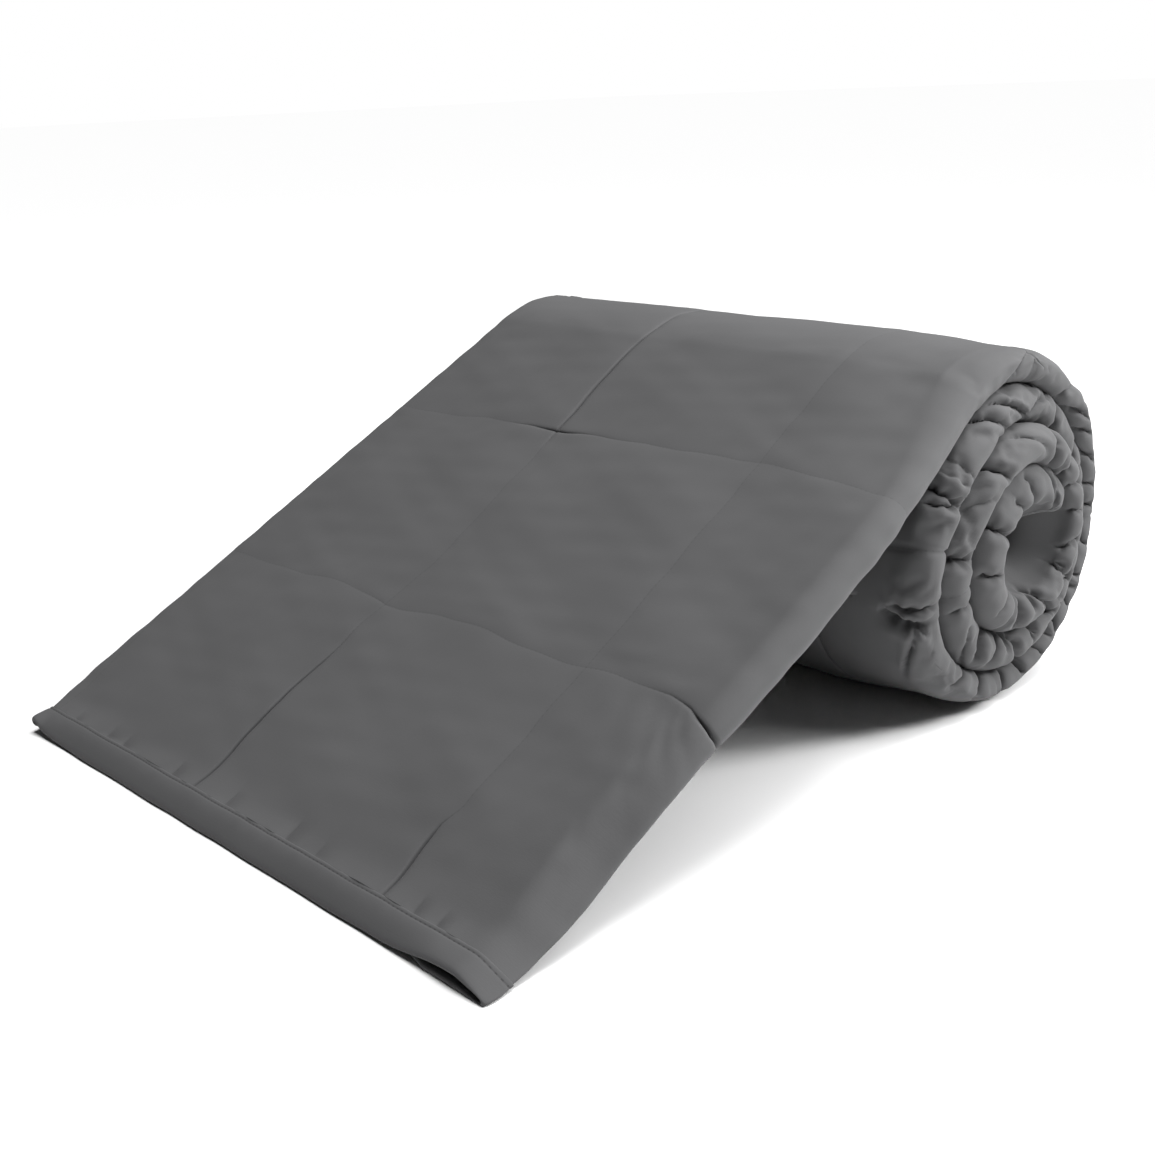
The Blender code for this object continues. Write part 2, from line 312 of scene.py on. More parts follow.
# Two slow waves in every sewn line: how far, radians to the metre, and the phase's step from line to line
LENGTHWISE_WAVES = ((0.0005, 61, 2.1), (0.0004, 143, 1.0))
CROSS_WAVES = ((0.0007, 57, 1.7), (0.0005, 131, 1.0))


def wavering(place, number, waves):
    """How far a sewn line wavers, at places along it."""
    return sum(far * np.sin(place * pace + step * number) for far, pace, step in waves)


def groove(distance, pull):
    """The depth of a sewn line at that distance from it."""
    distance = np.abs(distance)
    shoulder = pull * SEAM_DEPTH * np.clip(1 - distance / SEAM_REACH, 0, 1) ** SHOULDER_CURVE
    firm = np.clip((pull - LEAST_PULL) / (1 - LEAST_PULL), 0, 1) ** PULL_CURVE
    tight = np.clip(1 - distance / SEAM_CREASE_REACH, 0, 1) ** SEAM_CREASE_CURVE
    return shoulder + SEAM_CREASE_DEPTH * firm * tight


def quilting_grooves(across, length):
    """The depth of all the sewn lines together."""
    depth = 0.0
    for column in range(1, COLUMNS):
        pull = along(length, LENGTHWISE_PULL.get(column, PLAIN_LENGTHWISE_PULL))
        depth = depth + groove(across - column * COLUMN, pull)
    for row, seam in enumerate(CROSS_SEAMS):
        pull = along(across - THIRD_SEAM, CROSS_PULL.get(row, PLAIN_CROSS_PULL))
        depth = depth + groove(length - seam, pull)
    return depth


def strayed(across, length):
    """Places on the quilt, shifted near each seam as far as it strays from its straight line."""
    shifted_across, shifted_length = across + 0.0, length + 0.0
    for column in range(1, COLUMNS):
        stray = wavering(length, column, LENGTHWISE_WAVES)
        stray = stray + along(length, LENGTHWISE_STRAY.get(column, NO_STRAY))
        shifted_across = shifted_across + stray * bell(across - column * COLUMN, STRAY_REACH)
    for row, seam in enumerate(CROSS_SEAMS):
        stray = wavering(across, row, CROSS_WAVES)
        stray = stray + along(across - THIRD_SEAM, CROSS_STRAY.get(row, NO_STRAY))
        shifted_length = shifted_length + stray * bell(length - seam, STRAY_REACH)
    return shifted_across, shifted_length


RIPPLE_WAVES = 12
RIPPLE_SIZES = (0.7, 1.5)
RIPPLE_SCALE = 5


def ripples(across, length, size, seed):
    """Smooth random relief from about -1 to 1: a dozen waves about this size, in any direction."""
    draw = np.random.default_rng(seed)
    total = 0.0
    for _ in range(RIPPLE_WAVES):
        heading, phase = draw.uniform(0, math.tau, 2)
        wave = math.tau / (size * draw.uniform(*RIPPLE_SIZES))
        total = total + np.sin(wave * (across * math.cos(heading) + length * math.sin(heading)) + phase)
    return total / RIPPLE_SCALE


# The filling's puffs and two sizes of ripple: height, how much is left on the inner turns, wave and seed
CROWN = (0.0005, 0.2)
BROAD_RIPPLES = (0.0011, 0.25, 0.085, 3)
FINE_RIPPLES = (0.00022, 0.5, 0.022, 5)
PUFF_CURVE = 4
SLOPE_ENDS = 0.40
SLOPE_FADE = 0.06
OUTER_TURN_ENDS = 1.02
OUTER_TURN_FADE = 0.05
# The filling lies flatter at the hem and at the slope's left edge
HEM_CALM = 0.75
HEM_CALM_REACH = 0.02
EDGE_CALM_REACH = 0.035


def filling(across, length, left_place):
    """How far the filling swells the outer face."""
    on_slope = 1 - smooth((length - SLOPE_ENDS) / SLOPE_FADE)
    outer = 1 - smooth((length - OUTER_TURN_ENDS) / OUTER_TURN_FADE)
    soft = 1 - HEM_CALM * np.exp(-(length - BINDING) / HEM_CALM_REACH)
    soft = soft * (1 - on_slope * bell(left_place, EDGE_CALM_REACH))
    in_column = np.mod(across / COLUMN, 1)
    in_row = np.mod((length - BINDING - END_ROW) / ROW, 1)
    puff = (1 - np.abs(2 * in_column - 1) ** PUFF_CURVE) * (1 - np.abs(2 * in_row - 1) ** PUFF_CURVE)
    high, kept = CROWN
    swell = high * puff * (kept + (1 - kept) * outer) * soft
    high, kept, size, seed = BROAD_RIPPLES
    swell = swell + high * ripples(across, length, size, seed) * (kept + (1 - kept) * outer) * soft
    high, kept, size, seed = FINE_RIPPLES
    return swell + high * ripples(across, length, size, seed) * (kept + (1 - kept) * outer)


def millimetres(*rows):
    """Rows of sizes written in millimetres, in metres."""
    return [tuple(value / 1000 for value in row) for row in rows]


# Short tucks where the front hem draws the cloth in: distance from the third seam, depth and length
HEM_TUCKS = millimetres(
    (-145, 2.2, 5), (-106, 3, 6), (-87, 2.6, 5), (-28.5, 3, 6), (26.5, 3.2, 7), (83.5, 3.6, 9),
    (108.5, 4.2, 4), (188.7, 3.8, 6), (205.7, 2.4, 6),
)
TUCK_WIDTH = 0.0011
TUCK_SHOULDER = 0.25
TUCK_SHOULDER_REACH = 0.005
# One tuck's dimple: distance from the third seam, from the hem, depth and reach
TUCK_DIMPLE = (0.112, 0.007, 0.0010, 0.007)
HEM_DIP = 0.0006
HEM_DIP_REACH = 0.0035
# The hem's puckers: height, how far they reach, wave and seed, and how much they are drawn out lengthwise
HEM_PUCKERS = (0.00035, 0.014, 0.016, 31)
PUCKER_STRETCH = 0.3


def hem_gather(across, length):
    """The cloth pressed down into the hem's stitching, with its short tucks."""
    from_hem = length - BINDING
    relief = -HEM_DIP * np.exp(-from_hem / HEM_DIP_REACH)
    high, reach, size, seed = HEM_PUCKERS
    puckers = high * ripples(across, length * PUCKER_STRETCH, size, seed)
    relief = relief + puckers * np.exp(-from_hem / reach)
    for at, depth, reach in HEM_TUCKS:
        off = np.abs(across - THIRD_SEAM - at)
        valley = np.clip(1 - off / TUCK_WIDTH, 0, 1) + TUCK_SHOULDER * bell(off, TUCK_SHOULDER_REACH)
        relief = relief - depth * valley * bell(from_hem, reach)
    at, up, depth, reach = TUCK_DIMPLE
    return relief - depth * bell(np.hypot(across - THIRD_SEAM - at, from_hem - up), reach)


# Soft wrinkles that fan out from the tight end of the first cross seam, and a few along the right edge:
# from (length, distance from the third seam) to (length, distance), and depth
WRINKLES = millimetres(
    (160, 222, 118, 243, 0.8), (158, 232, 126, 252, 1), (158, 240, 140, 256, 0.9),
    (156, 205, 112, 226, 0.4), (118, 238, 92, 252, 0.5), (92, 232, 60, 246, 0.4),
    (66, 240, 34, 250, 0.5), (178, 196, 196, 214, 0.4), (176, 226, 206, 240, 0.5),
)
WRINKLE_WIDTH = 0.0032
WRINKLE_FADE = 0.7


def wrinkled(from_seam, length):
    relief = 0.0
    for first, start, last, end, depth in WRINKLES:
        run = math.hypot(last - first, end - start)
        share = ((length - first) * (last - first) + (from_seam - start) * (end - start)) / run ** 2
        share = np.clip(share, 0, 1)
        away = np.hypot(length - first - share * (last - first), from_seam - start - share * (end - start))
        relief = relief - depth * bell(away, WRINKLE_WIDTH) * (1 - WRINKLE_FADE * share)
    return relief


Crease = namedtuple("Crease", "first start last end depth width")

# Creases of the right-hand fold as it winds in: from (length, place round the fold) to (length, place),
# how deep and how wide. A place is measured from the middle of the folded edge, its outer side negative.
RIGHT_CREASES = [Crease(*row) for row in millimetres(
    (488, -8, 463, 11, 2, 2.2), (478, -1, 512, 4, 0.9, 1.6), (545, -4, 538, 10, 3, 2.2),
    (572, 1, 556, 11, 5.6, 3), (587, 1.5, 580, 10, 5.5, 2), (608, 1.5, 598, 11, 5.3, 1.8),
    (628, 1.5, 624, 10, 4.6, 1.4), (643, 1.5, 641, 8, 5.3, 2), (669, 1.5, 664, 9, 5.3, 1.6),
    (691, 1.5, 690, 9, 4.6, 2), (712, 1.5, 708, 12, 3.9, 1.4), (732, 1.5, 724, 14, 5.1, 1.6),
    (754, 1.5, 757, 10, 4.1, 1.4), (777, 1.5, 781, 12, 4.8, 1.8), (806, -6, 801, 10, 5, 2),
    (838, -4, 831, 12, 5, 2), (866, -2, 858, 10, 4.6, 1.8), (898, -22, 926, -10, 3, 1.8),
    (876, -3, 917, -4, 2.6, 1.8), (936, -26, 930, -7, 7.5, 2.4), (942, -20, 939, 5, 4.8, 1.6),
    (1000.5, -13, 1003.5, 1, 4, 1.4), (1009, -16, 1006.5, 4, 7.5, 1.6), (1018, -18, 1019, 0, 1, 1.3),
    (1026, -20, 1026.5, 2, 1.4, 1.3), (1056, -13, 1076, 5, 4.2, 1.8), (1078, -9, 1104, 4, 5.8, 2.4),
    (1127, -4, 1112, 6, 4, 2), (1150, -6, 1156, 8, 3.6, 2.4), (1182, -14, 1192, 2, 4.6, 2.4),
    (1205, 1.5, 1206, 4, 5.3, 1.8), (1217, 1.5, 1216, 6, 3.9, 1.3), (1234, 1.5, 1234, 5, 3.4, 1.2),
    (1255, 1.5, 1262, 11, 6.4, 1.8), (1283, 1.5, 1286, 6, 4.6, 1.6), (1310, 1.5, 1322, 14, 6.4, 1.8),
    (1335, 1.5, 1336, 10, 4.1, 1.4), (1352, -10, 1360, 8, 7, 2.6), (1384, -4, 1380, 12, 4, 2),
    (1402, -4, 1409, 12, 8, 3.4), (1405, -14, 1426, -3, 2.6, 1.6), (1450, -6, 1447, 12, 3.4, 1.8),
    (1484, -18, 1481, 4, 7.5, 1.7), (1512, -10, 1522, -1, 1.4, 4), (1533, -18, 1546, 2, 4.8, 1.6),
    (1562, -14, 1588, 0, 1.8, 1.8), (1604, -10, 1612, 8, 3.4, 2), (1630, -8, 1632, 8, 3.4, 1.8),
    (1652, -9, 1648, 6, 4, 1.5), (1671, -8, 1668, 8, 3.4, 1.5), (1687, -8, 1696, 9, 5.2, 2),
    (1716, -6, 1712, 12, 4.4, 1.8), (1733, -11, 1752, 16, 7, 2.1), (1770, -8, 1774, 10, 6.5, 2.6),
    (1800, -2, 1796, 12, 3.2, 1.6), (1833, -8, 1829, 2, 4.6, 1.7), (1861, -18, 1863, 10, 7.5, 1.8),
    (1886, 1, 1889, 7, 3, 2.4), (1901, -6, 1906, 12, 2.6, 1.8), (1920, -12, 1935, 4, 3.4, 1.6),
    (1932, -10, 1941, 6, 2.2, 1.6),
)]
# Creases of the left-hand fold, all of one kind: a slanting one every so often along the roll
LEFT_CREASES = [
    Crease(length, -0.012, length + 0.012 * math.sin(9 * number), 0.010,
           0.0050 + 0.0020 * math.sin(5 * number), 0.0020)
    for number, length in enumerate(np.arange(0.489, 1.92, 0.061))
]
# Deep pockets where the turns press the folded edge shut, wedges that open towards the next turn:
# length, places of its point and mouth, how deep, and half the mouth's width
POCKETS = millimetres(
    (1410, -3, 13, 13, 4.6), (1369, -1, 13, 11, 3.6), (1356, -9, 4, 8, 2.4), (1332, -1, 12, 9, 2.8),
    (1311, -2, 12, 9, 2.8), (1279, -3, 9, 6, 2.4), (1756, -2, 13, 8, 2.6), (1745, 2, 16, 5, 2.4),
    (1776, -11, 4, 9, 3.4), (1709, -1, 11, 7, 2.6), (700, -2, 11, 9, 2.8), (740, -1, 12, 9, 3),
    (778, -2, 11, 8, 2.8),
)
POCKET_OPENS = 0.5
POCKET_CLOSES = 0.3
POCKET_POINT = 0.35
# How freely the folded edge swells between its creases: less where the next square lies against it
SWELL = (
    (0.52, 1.0), (0.58, 0.20), (0.80, 0.20), (0.87, 1.0), (1.12, 1.0), (1.18, 0.35), (1.44, 0.35),
    (1.48, 1.0), (1.60, 1.0), (1.64, 0.5), (1.86, 0.5), (1.90, 1.0),
)
# The folded edge's lobes: least depth, how much deeper the creases draw them in, and their roundness
LOBE = 0.0003
DRAW_IN = 55
LOBE_CURVE = 3.2
LOBE_FADE = 0.05
# Creases deeper than this hold the cloth in
HOLDING_DEPTH = 0.0035
# How much longer the fold's outer face is than its middle surface
OUTER_STRETCH = 1.2


def middle(crease):
    return (crease.first + crease.last) / 2


def fold_place(across, length, side):
    """Distance round the outside of a fold, from the middle of its edge; the flap's side is positive."""
    fold = fold_sizes(length, side)
    quarter = math.pi / 2 * fold.radius
    past = side * (across - THIRD_SEAM) - fold.reach - fold.arc
    stretch = (fold.radius + half_layer(layer_pitch(length))) / fold.radius
    flap_side = np.minimum(past, quarter) * stretch + np.maximum(past - quarter, 0)
    outer_side = np.maximum(past, -fold.arc) * OUTER_STRETCH + np.minimum(past + fold.arc, 0)
    return np.where(past > 0, flap_side, outer_side)


def lobed(length, creases):
    """How far a fold's edge draws in at its creases, between full lobes."""
    lengths = np.array([middle(crease) for crease in creases])
    depths = np.array([crease.depth for crease in creases])
    before = np.clip(np.searchsorted(lengths, length) - 1, 0, len(lengths) - 2)
    share = np.clip((length - lengths[before]) / (lengths[before + 1] - lengths[before]), 0, 1)
    ends = np.abs(2 * share - 1) ** LOBE_CURVE
    depth = depths[before] + (depths[before + 1] - depths[before]) * share
    wound = smooth((length - SLOPE_ENDS) / LOBE_FADE)
    return -wound * along(length, SWELL) * (LOBE + DRAW_IN * depth ** 2) * ends


def pocketed(place, length):
    """How far the folded edge sinks in at its pockets."""
    sunk = np.zeros_like(place)
    for at, point, mouth, depth, wide in POCKETS:
        share = (place - point) / (mouth - point)
        open_part = smooth(share / POCKET_OPENS) * (1 - smooth((share - 1) / POCKET_CLOSES))
        half_width = wide * (POCKET_POINT + (1 - POCKET_POINT) * np.clip(share, 0, 1))
        sunk += depth * open_part * bell(length - at, half_width)
    return sunk


# A crease's valley: how far along the cloth it is worked out, how it overruns its ends (as a share of its
# length) and fades there, how its line wavers (how far, radians to the metre, phase), how deep it cuts,
# how round its tip is, and how tight it is
CREASE_SPREAD = 0.03
CREASE_OVERRUN = 0.2
CREASE_FADE = 0.0035
CREASE_WAVER = (0.0006, 700, 40)
CREASE_CUT = 1.5
CREASE_TIP = 0.0002
CREASE_TIGHTNESS = 0.42
# Beside it, a soft hollow and a raised flank: share of the depth when held, and what free swelling adds
HOLLOW_SHARES = (0.12, 0.26)
HOLLOW_REACH = 0.0042
FLANK_SHARE = 0.4
FLANK_AT = 0.0080
FLANK_REACH = 0.0040


def creased(place, length, creases, crisp):
    """The relief of a fold's creases: a sharp valley with softer flanks, or the flanks alone."""
    relief = np.zeros_like(place)
    far, pace, phase = CREASE_WAVER
    for crease in creases:
        run, rise = crease.last - crease.first, crease.end - crease.start
        near = np.abs(length - middle(crease)) < CREASE_SPREAD + abs(run) / 2
        share = (place[near] - crease.start) / rise
        line = crease.first + run * np.clip(share, -CREASE_OVERRUN, 1 + CREASE_OVERRUN)
        off = length[near] - line + far * np.sin(place[near] * pace + phase * crease.first)
        beyond = np.maximum(np.abs(share - 0.5) - 0.5, 0) * abs(rise)
        depth = crease.depth * bell(beyond, CREASE_FADE)
        soft = HOLLOW_SHARES[0] + HOLLOW_SHARES[1] * along(line, SWELL)
        relief[near] -= depth * soft * bell(off, HOLLOW_REACH)
        relief[near] += depth * soft * FLANK_SHARE * bell(np.abs(off) - FLANK_AT, FLANK_REACH)
        if crisp:
            rounded = np.sqrt(off ** 2 + CREASE_TIP ** 2)
            relief[near] -= depth * CREASE_CUT * np.exp(-rounded / (CREASE_TIGHTNESS * crease.width))
    return relief


# Pleats of the left fold: the least and the most of each one's depth, lean, width, start and end
PLEAT_LIMITS = ((0.0012, 0.0042), (-0.5, 0.5), (0.0012, 0.0026), (-0.004, 0.008), (0.018, 0.034))
PLEAT_SPACING = (0.009, 0.019)
FIRST_PLEAT = 0.47
PLEAT_SEED = 19
PLEAT_SHARE = 0.7
PLEAT_SPREAD = 0.025
PLEAT_MIDDLE = 0.01
PLEAT_FADES = (0.006, 0.012)


def pleats(place, length):
    """Narrow tucks across the inner side of a fold, where winding leaves the cloth too long."""
    draw = np.random.default_rng(PLEAT_SEED)
    relief = np.zeros_like(place)
    at = FIRST_PLEAT
    while at < CLOTH_LENGTH:
        depth, lean, width, starts, ends = [draw.uniform(*limits) for limits in PLEAT_LIMITS]
        near = np.abs(length - at) < PLEAT_SPREAD
        off = length[near] - at - lean * (place[near] - PLEAT_MIDDLE)
        fade_in, fade_out = PLEAT_FADES
        window = smooth((place[near] - starts) / fade_in) * smooth((ends - place[near]) / fade_out)
        relief[near] -= depth * window * np.exp(-np.abs(off) / width)
        at += draw.uniform(*PLEAT_SPACING)
    return PLEAT_SHARE * relief


# The innermost turn sags into the hollow of the roll, a little way in from its end
HOLLOW_START = 1.60
HOLLOW_FADE = 0.08
HOLLOW_SAG = 0.017
HOLLOW_MARGIN = 0.002
HOLLOW_SPREAD = 0.028


def hollow_sag(across, length):
    beyond = across - THIRD_SEAM - fold_sizes(length, 1).flap
    wound = smooth((length - HOLLOW_START) / HOLLOW_FADE)
    return HOLLOW_SAG * smooth((beyond + HOLLOW_MARGIN) / HOLLOW_SPREAD) * wound


# The rim's stitching, and how each rim is rounded off: its thickness at the edge as a share, and how wide
RIM_STITCH_AT = 0.012
RIM_STITCH_DEPTH = 0.0016
RIM_STITCH_WIDTH = 0.002
SIDE_RIM = (0.45, 0.004)
END_RIM = (0.35, 0.006)
# Heights above the layer's inner limit: the outer face's at the least, and the inner face's
THINNEST = 0.0010
INNER_FACE = 0.0004
# The right fold's lobes fade to this share on the flap's side
NOSE_KEPT = 0.25
NOSE_FADE = 0.012
NOSE_FADE_START = 0.3


def rounded_off(distance, rim):
    least, wide = rim
    return least + (1 - least) * np.sqrt(np.clip(distance / wide, 0, 1))


def upper_height(across, length, crisp=True):
    """(height, left nose, right nose) of the outer face. Without crisp, what is narrow is left out."""
    right, left = fold_place(across, length, 1), fold_place(across, length, -1)
    pitch = layer_pitch(length)
    height = half_layer(pitch) - quilting_grooves(across, length) + filling(across, length, left)
    height = height + hem_gather(across, length) + wrinkled(across - THIRD_SEAM, length)
    height = height + creased(right, length, RIGHT_CREASES, crisp)
    holding = [crease for crease in RIGHT_CREASES if crease.depth > HOLDING_DEPTH]
    right_nose = lobed(length, holding)
    right_nose = right_nose * (1 - (1 - NOSE_KEPT) * smooth(right / NOSE_FADE + NOSE_FADE_START))
    left_nose = lobed(length, LEFT_CREASES)
    if crisp:
        right_nose = right_nose - pocketed(right, length)
        height = height + creased(left, length, LEFT_CREASES, crisp) + pleats(left, length)
    rim = np.minimum(across, CLOTH_WIDTH - across)
    height = height - RIM_STITCH_DEPTH * np.exp(-np.abs(rim - RIM_STITCH_AT) / RIM_STITCH_WIDTH)
    height = height * rounded_off(rim, SIDE_RIM) * rounded_off(CLOTH_LENGTH - length, END_RIM)
    return np.maximum(height, THINNEST - half_layer(pitch)), left_nose, right_nose


def quilt_places(across, side, length, crisp=True):
    """World places on the quilt's outer face (side 1) or inner face (side -1)."""
    height, left_nose, right_nose = upper_height(across, length, crisp)
    inner = INNER_FACE - half_layer(layer_pitch(length))
    height = np.where(side > 0, height, inner)
    shifted_across, shifted_length = strayed(across, length)
    x, lift = folded(shifted_across, height, shifted_length, left_nose, right_nose)
    lift = lift - hollow_sag(across, length)
    return rolled(x, lift, shifted_length + recess(across, length))


# ---------------------------------------------------------------- quilted cloth: its puffed edge
# Where the roll bends the folded edge, the cloth on it is too long: it swells out between the creases
# that hold it and buckles. That sleeve of cloth is simulated, and its movement is added to the quilt.

SLEEVE_START = 0.405
SLEEVE_END = CLOTH_LENGTH - 0.003
SLEEVE_STEP = 0.0026
SLEEVE_FADE = 0.05
SLEEVE_MARGIN = 0.030
SLEEVE_FLAP = 0.034
# The furthest that the cloth moves, and how freely it does so at places round the fold
SLEEVE_LIMIT = 0.0035
SLEEVE_WINDOW = ((-0.026, 0.0), (-0.014, 0.8), (-0.004, 1.0), (0.004, 0.9), (0.012, 0.5), (0.022, 0.0))
SLEEVE_FRAMES = 20
HELD_REACH = 0.6 * SLEEVE_STEP


def sleeve_ends(length):
    """Places across the quilt where the sleeve starts and ends."""
    fold = fold_sizes(length, 1)
    return THIRD_SEAM + fold.reach - SLEEVE_MARGIN, THIRD_SEAM + fold.flap + SLEEVE_FLAP


def sleeve_grid():
    """(across, length) of the sleeve's points, by row and column."""
    length = np.linspace(SLEEVE_START, SLEEVE_END, round((CLOTH_LENGTH - SLEEVE_START) / SLEEVE_STEP))
    first, last = sleeve_ends(length)
    share = np.linspace(0, 1, round(float(np.mean(last - first)) / SLEEVE_STEP))
    return first[:, None] * (1 - share) + last[:, None] * share, length[:, None] + 0 * share


def held_places(place, length):
    """True along the sleeve's border and where a deep crease holds the cloth in."""
    held = np.zeros(place.shape, bool)
    for crease in RIGHT_CREASES:
        if crease.depth > HOLDING_DEPTH:
            share = (place - crease.start) / (crease.end - crease.start)
            line = crease.first + (crease.last - crease.first) * share
            held |= (share > 0) & (share < 1) & (np.abs(length - line) < HELD_REACH)
    held[:2] = held[-2:] = held[:, :2] = held[:, -2:] = True
    return held


def laid_sleeve(places, at, held):
    """The sleeve's cloth before it moves. Its points are numbered by row and column."""
    faces = np.stack([at[:-1, :-1], at[:-1, 1:], at[1:, 1:], at[1:, :-1]], axis=-1).reshape(-1, 4)
    mesh = bpy.data.meshes.new("sleeve")
    mesh.from_pydata(places.tolist(), [], faces.tolist())
    sleeve = bpy.data.objects.new("sleeve", mesh)
    bpy.context.scene.collection.objects.link(sleeve)
    sleeve.vertex_groups.new(name="held").add(at[held].tolist(), 1.0, "REPLACE")
    cloth = sleeve.modifiers.new("cloth", "CLOTH")
    cloth.collision_settings.use_collision = False
    settings = cloth.settings
    settings.quality = 6
    settings.mass = 0.3
    settings.tension_stiffness = settings.compression_stiffness = 15
    settings.shear_stiffness = 5
    settings.bending_stiffness = 0.1
    settings.use_pressure = True
    settings.uniform_pressure_force = 4
    settings.shrink_min = -0.05
    settings.vertex_group_mass = "held"
    settings.effector_weights.gravity = 0
    return sleeve


def simulated_sleeve():
    """How far each point of the sleeve's grid moves."""
    across, length = sleeve_grid()
    place = fold_place(across, length, 1)
    places = quilt_places(across.ravel(), np.ones(across.size), length.ravel(), crisp=False)
    at = np.arange(across.size).reshape(across.shape)
    sleeve = laid_sleeve(places, at, held_places(place, length))
    for frame_number in range(1, SLEEVE_FRAMES + 1):
        bpy.context.scene.frame_set(frame_number)
    moved = np.empty(places.size)
    settled = sleeve.evaluated_get(bpy.context.evaluated_depsgraph_get())
    settled.data.vertices.foreach_get("co", moved)
    bpy.context.scene.frame_set(1)
    bpy.data.objects.remove(sleeve)
    movement = moved.reshape(-1, 3) - places
    # The last term keeps a point that stays where it is from dividing by zero
    far = np.linalg.norm(movement, axis=1, keepdims=True) + 1e-9
    movement = (movement * SLEEVE_LIMIT / far * np.tanh(far / SLEEVE_LIMIT)).reshape(*across.shape, 3)
    free = along(place, SLEEVE_WINDOW) * along(length, SWELL)
    free = free * smooth((length - SLEEVE_START) / SLEEVE_FADE)
    return movement * free[..., None]


def spline(share):
    """Weights of the four neighbours on a smooth curve through a row of points."""
    square, cube = share ** 2, share ** 3
    return ((2 * square - cube - share) / 2, (3 * cube - 5 * square + 2) / 2,
            (4 * square - 3 * cube + share) / 2, (cube - square) / 2)


def sleeve_offsets(across, length):
    """The sleeve's movement at any place on the quilt, smooth between the points of its grid."""
    movement = simulated_sleeve()
    rows, columns = movement.shape[:2]
    first, last = sleeve_ends(length)
    v = (length - SLEEVE_START) / (SLEEVE_END - SLEEVE_START) * (rows - 1)
    u = (across - first) / (last - first) * (columns - 1)
    inside = (v > 0) & (v < rows - 1) & (u > 0) & (u < columns - 1)
    v, u = v[inside], u[inside]
    row, column = np.floor(v).astype(int), np.floor(u).astype(int)
    total = np.zeros((len(v), 3))
    for i, row_weight in enumerate(spline(v - row)):
        for j, column_weight in enumerate(spline(u - column)):
            nearby = movement[np.clip(row + i - 1, 0, rows - 1), np.clip(column + j - 1, 0, columns - 1)]
            total += nearby * (row_weight * column_weight)[:, None]
    offsets = np.zeros((len(across), 3))
    offsets[inside] = total
    return offsets


# ---------------------------------------------------------------- quilted cloth: its mesh
# The quilt is laid out as a closed ring of columns, outer face and then inner face, and rows along it.
# A column or row has a rank: those of rank 0 are everywhere, the others only where the cloth is seen.

FOURTH_SEAM = 4 * COLUMN
# (distance, rank) of the lines of points beside a seam that shows
SEAM_SIDE = [(0.0003, 2), (0.0008, 1), (0.0015, 2), (0.003, 1), (0.0055, 2), (0.009, 0)]
SEAM_LINES = [(-away, rank) for away, rank in reversed(SEAM_SIDE)] + [(0, 0)] + SEAM_SIDE
SEAM_HALF = SEAM_SIDE[-1][0]
LEFT_FOLD_SIDE = 0.012
RIGHT_FOLD_SIDE = 0.014
NEAR_FLAP = 0.036
RIM_MARGIN = 0.030
RIM_COLUMNS = 0.004


def ranked(count, every_second, every):
    """(share, rank) of the places that cut a stretch into count parts."""
    return [(i / count, 0 if i % every == 0 else 1 if i % every_second == 0 else 2) for i in range(count)]


def column_anchors(length):
    """Places across the quilt that its columns are spread between, from flap edge to flap edge."""
    left, right = fold_sizes(length, -1), fold_sizes(length, 1)
    left_end, right_end = THIRD_SEAM - left.reach, THIRD_SEAM + right.reach
    left_flap, right_flap = THIRD_SEAM - left.flap, THIRD_SEAM + right.flap
    anchors = [0, left_flap - RIM_MARGIN, left_flap, left_end, left_end + LEFT_FOLD_SIDE,
               THIRD_SEAM - SEAM_HALF, THIRD_SEAM + SEAM_HALF,
               FOURTH_SEAM - SEAM_HALF, FOURTH_SEAM + SEAM_HALF,
               right_end - RIGHT_FOLD_SIDE, right_end, right_flap, right_flap + NEAR_FLAP,
               CLOTH_WIDTH - RIM_COLUMNS, CLOTH_WIDTH]
    return np.stack([anchor + 0 * length for anchor in anchors])


def seam_columns():
    return [(0.5 + away / (2 * SEAM_HALF), rank) for away, rank in SEAM_LINES[:-1]]


# For each stretch between anchors: its (share, rank) columns on the outer face, and how many on the inner
STRETCHES = (
    (ranked(7, 7, 1), 5), (ranked(8, 2, 8), 2), (ranked(10, 2, 10), 4), (ranked(4, 2, 4), 1),
    (ranked(24, 2, 6), 4), (seam_columns(), 2), (ranked(24, 2, 6), 4), (seam_columns(), 2),
    (ranked(14, 2, 7), 3), (ranked(8, 2, 8), 1), (ranked(24, 4, 24), 6), (ranked(14, 2, 14), 2),
    (ranked(8, 8, 1), 6), (ranked(3, 3, 1), 1),
)


def columns_of_ring():
    """Rows of (stretch, share, side, rank), once round the quilt's section."""
    ring = []
    for number, (outer, _) in enumerate(STRETCHES):
        ring += [(number, share, 1, rank) for share, rank in outer]
    ring.append((len(STRETCHES) - 1, 1.0, 1, 0))
    for number in reversed(range(len(STRETCHES))):
        count = STRETCHES[number][1]
        ring += [(number, 1 - i / count, -1, 0) for i in range(count)]
    ring.append((0, 0.0, -1, 0))
    return ring


FIRST_ROW = BINDING + 0.0003
HEM_LINES = ((0, 0), (0.0005, 2), (0.0011, 2), (0.002, 2), (0.0035, 2))
HEM_MARGIN = 0.006
SEAM_MARGIN = 0.0095
SLOPE_ROW_STEP = 0.003
LAST_SLOPE_ROW = TOP_OF_SLOPE + 0.012
# On the roll, one row in eight has rank 0. Rows are this far apart on average, on open cloth and at a
# crease, which draws them in over the last distance
FIRST_WOUND_ROW = TOP_OF_SLOPE + 0.0135
COARSE = 8
WOUND_STEP = 0.00176
OPEN_SPACING = 0.0024
CREASE_SPACING = 0.0007
CREASE_NEAR = 0.0024
FINE_STEPS = 20001


